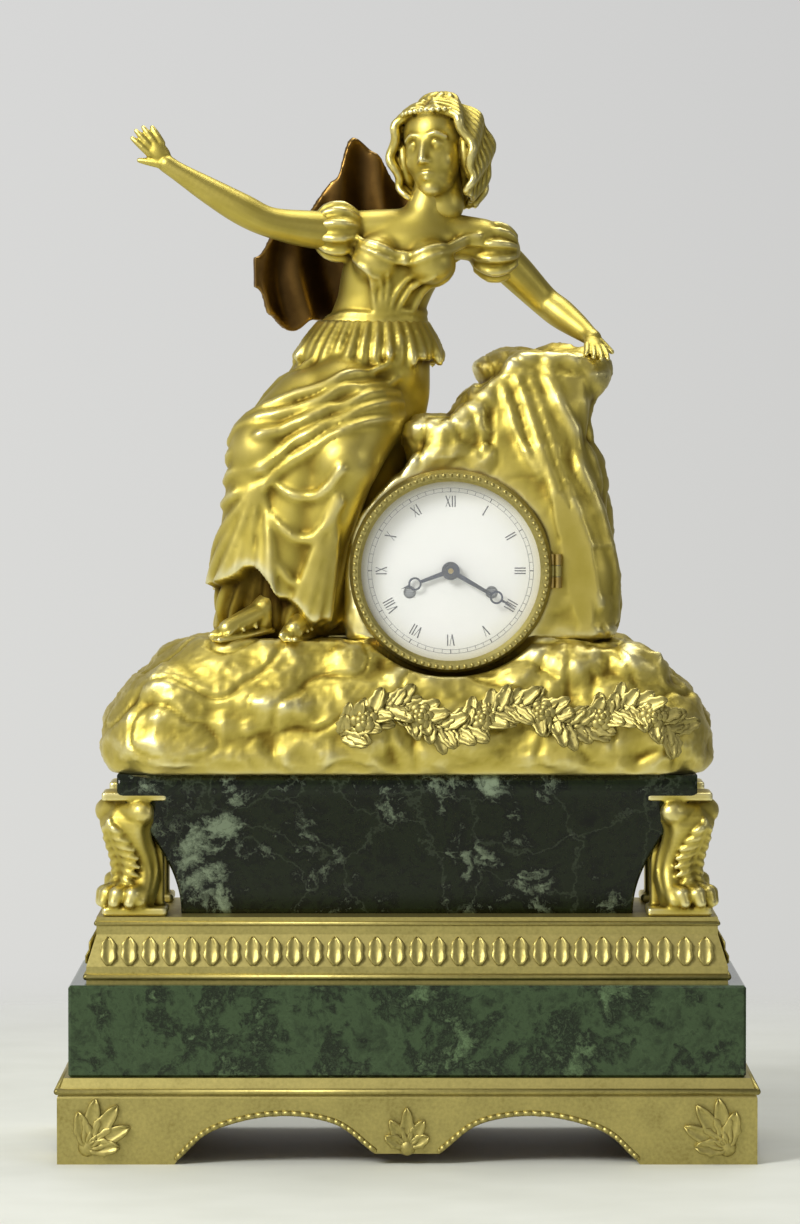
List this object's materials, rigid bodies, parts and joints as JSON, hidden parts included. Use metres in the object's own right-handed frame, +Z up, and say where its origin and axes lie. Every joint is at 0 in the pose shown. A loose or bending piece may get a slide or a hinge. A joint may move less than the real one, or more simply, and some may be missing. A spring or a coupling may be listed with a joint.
{
  "type": "figural mantel clock",
  "caption": "Gilt bronze mantel clock: a draped figure seated by a rock with a round dial, on a green marble and gilt stepped base.",
  "frame": {"origin": "middle of the base, on the table", "axes": "+Z up, -Y out of the dial towards the viewer, +X to the viewer's right"},
  "size_m": [0.322, 0.15, 0.497],
  "materials": {
    "gilt_bronze": "fire-gilt, matt with burnished ridges",
    "brown_bronze": "dark brown patina, satin",
    "green_marble": "polished",
    "oak": "raw",
    "steel": "satin",
    "clock_brass": "satin",
    "blued_steel": "blued",
    "white_enamel": "gloss",
    "clear_glass": "clear",
    "bell_metal": "turned"
  },
  "bodies": {
    "case": {"base_apron": "gilt_bronze", "gilt_plinth": "gilt_bronze", "corner_feet": "gilt_bronze", "terrace_mound": "gilt_bronze", "rock_case": "gilt_bronze", "figure_skirt": "gilt_bronze", "figure_torso": "gilt_bronze", "figure_head": "gilt_bronze", "figure_right_arm": "gilt_bronze", "figure_left_arm": "gilt_bronze", "figure_feet": "gilt_bronze", "figure_mantle": "brown_bronze", "lower_marble": "green_marble", "marble_body": "green_marble", "base_board": "oak", "plinth_core": "oak", "tie_rods": "steel", "tie_nuts": "steel", "ratchet_clicks": "steel", "suspension_spring": "steel", "bell_stand": "steel", "bezel_hinge_pin": "steel", "rear_hinge_pin": "steel", "movement_drum": "clock_brass", "rear_ring": "clock_brass", "case_straps": "clock_brass", "front_plate": "clock_brass", "back_plate": "clock_brass", "plate_pillars": "clock_brass", "suspension_cock": "clock_brass", "dial": "white_enamel", "bell": "bell_metal"},
    "front_door": {"front_bezel": "gilt_bronze", "dial_glass": "clear_glass"},
    "back_door": {"rear_cover": "clock_brass"},
    "minute_set": {"cannon_pinion": "clock_brass", "minute_hand": "blued_steel", "hand_nut": "blued_steel"},
    "motion_set": {"minute_wheel": "clock_brass"},
    "hour_set": {"hour_wheel": "clock_brass", "hour_hand": "blued_steel"},
    "escape": {"escape_wheel": "clock_brass"},
    "third": {"third_wheel": "clock_brass"},
    "centre": {"centre_wheel": "clock_brass"},
    "going_drum": {"going_barrel": "clock_brass", "going_mainspring": "steel"},
    "fly": {"strike_fly": "clock_brass"},
    "pins": {"pin_wheel": "clock_brass"},
    "counter": {"strike_second_wheel": "clock_brass", "count_wheel": "clock_brass"},
    "strike_drum": {"strike_barrel": "clock_brass", "strike_mainspring": "steel"},
    "going_winder": {"going_arbor": "steel"},
    "strike_winder": {"strike_arbor": "steel"},
    "pendulum": {"pendulum_rod": "steel", "pendulum_bob": "clock_brass", "rating_nut": "clock_brass"},
    "anchor": {"pallet_anchor": "steel"},
    "hammer": {"strike_hammer": "steel"}
  },
  "joints": [
    {"name": "front_door_hinge", "type": "hinge", "parent": "case", "child": "front_door", "pos_m": [0.0698, -0.0437, 0.272], "axis": [0, 0, 1], "range_deg": [0, 110]},
    {"name": "back_door_hinge", "type": "hinge", "parent": "case", "child": "back_door", "pos_m": [-0.0294, 0.0497, 0.272], "axis": [0, 0, 1], "range_deg": [0, 110]},
    {"name": "minute_turn", "type": "hinge", "parent": "case", "child": "minute_set", "pos_m": [0.0202, 0, 0.272], "axis": [0, 1, 0], "continuous": true},
    {"name": "motion_turn", "type": "hinge", "parent": "case", "child": "motion_set", "pos_m": [0.0202, 0, 0.2816], "axis": [0, 1, 0], "continuous": true},
    {"name": "hour_turn", "type": "hinge", "parent": "case", "child": "hour_set", "pos_m": [0.0202, 0, 0.272], "axis": [0, 1, 0], "continuous": true},
    {"name": "escape_turn", "type": "hinge", "parent": "case", "child": "escape", "pos_m": [0.0202, 0, 0.29455], "axis": [0, 1, 0], "continuous": true},
    {"name": "third_turn", "type": "hinge", "parent": "case", "child": "third", "pos_m": [0.02748, 0, 0.28461], "axis": [0, 1, 0], "continuous": true},
    {"name": "centre_turn", "type": "hinge", "parent": "case", "child": "centre", "pos_m": [0.0202, 0, 0.272], "axis": [0, 1, 0], "continuous": true},
    {"name": "going_drum_turn", "type": "hinge", "parent": "case", "child": "going_drum", "pos_m": [0.0392, 0, 0.262], "axis": [0, 1, 0], "continuous": true},
    {"name": "fly_turn", "type": "hinge", "parent": "case", "child": "fly", "pos_m": [0.00565, 0, 0.30142], "axis": [0, 1, 0], "continuous": true},
    {"name": "pins_turn", "type": "hinge", "parent": "case", "child": "pins", "pos_m": [0.00397, 0, 0.29189], "axis": [0, 1, 0], "continuous": true},
    {"name": "counter_turn", "type": "hinge", "parent": "case", "child": "counter", "pos_m": [-0.00245, 0, 0.28271], "axis": [0, 1, 0], "continuous": true},
    {"name": "strike_drum_turn", "type": "hinge", "parent": "case", "child": "strike_drum", "pos_m": [0.0012, 0, 0.262], "axis": [0, 1, 0], "continuous": true},
    {"name": "going_winding", "type": "hinge", "parent": "case", "child": "going_winder", "pos_m": [0.0392, 0, 0.262], "axis": [0, 1, 0], "continuous": true},
    {"name": "strike_winding", "type": "hinge", "parent": "case", "child": "strike_winder", "pos_m": [0.0012, 0, 0.262], "axis": [0, 1, 0], "continuous": true},
    {"name": "pendulum_swing", "type": "hinge", "parent": "case", "child": "pendulum", "pos_m": [0.0202, 0, 0.306], "axis": [0, 1, 0], "range_deg": [-5, 5]},
    {"name": "anchor_rock", "type": "hinge", "parent": "case", "child": "anchor", "pos_m": [0.0202, 0, 0.306], "axis": [0, 1, 0], "range_deg": [-5, 5]},
    {"name": "hammer_lift", "type": "hinge", "parent": "case", "child": "hammer", "pos_m": [0.0452, 0, 0.245], "axis": [0, 1, 0], "range_deg": [0, 12]}
  ],
  "couplings": [
    {"joint": "motion_turn", "follows": "minute_turn", "ratio": -0.33333},
    {"joint": "hour_turn", "follows": "minute_turn", "ratio": 0.083333},
    {"joint": "third_turn", "follows": "escape_turn", "ratio": -0.076923},
    {"joint": "centre_turn", "follows": "escape_turn", "ratio": 0.0064103},
    {"joint": "going_drum_turn", "follows": "escape_turn", "ratio": -0.0010684},
    {"joint": "pins_turn", "follows": "fly_turn", "ratio": -0.1},
    {"joint": "counter_turn", "follows": "fly_turn", "ratio": 0.011111},
    {"joint": "strike_drum_turn", "follows": "fly_turn", "ratio": -0.0015873},
    {"joint": "anchor_rock", "follows": "pendulum_swing", "ratio": 1}
  ]
}
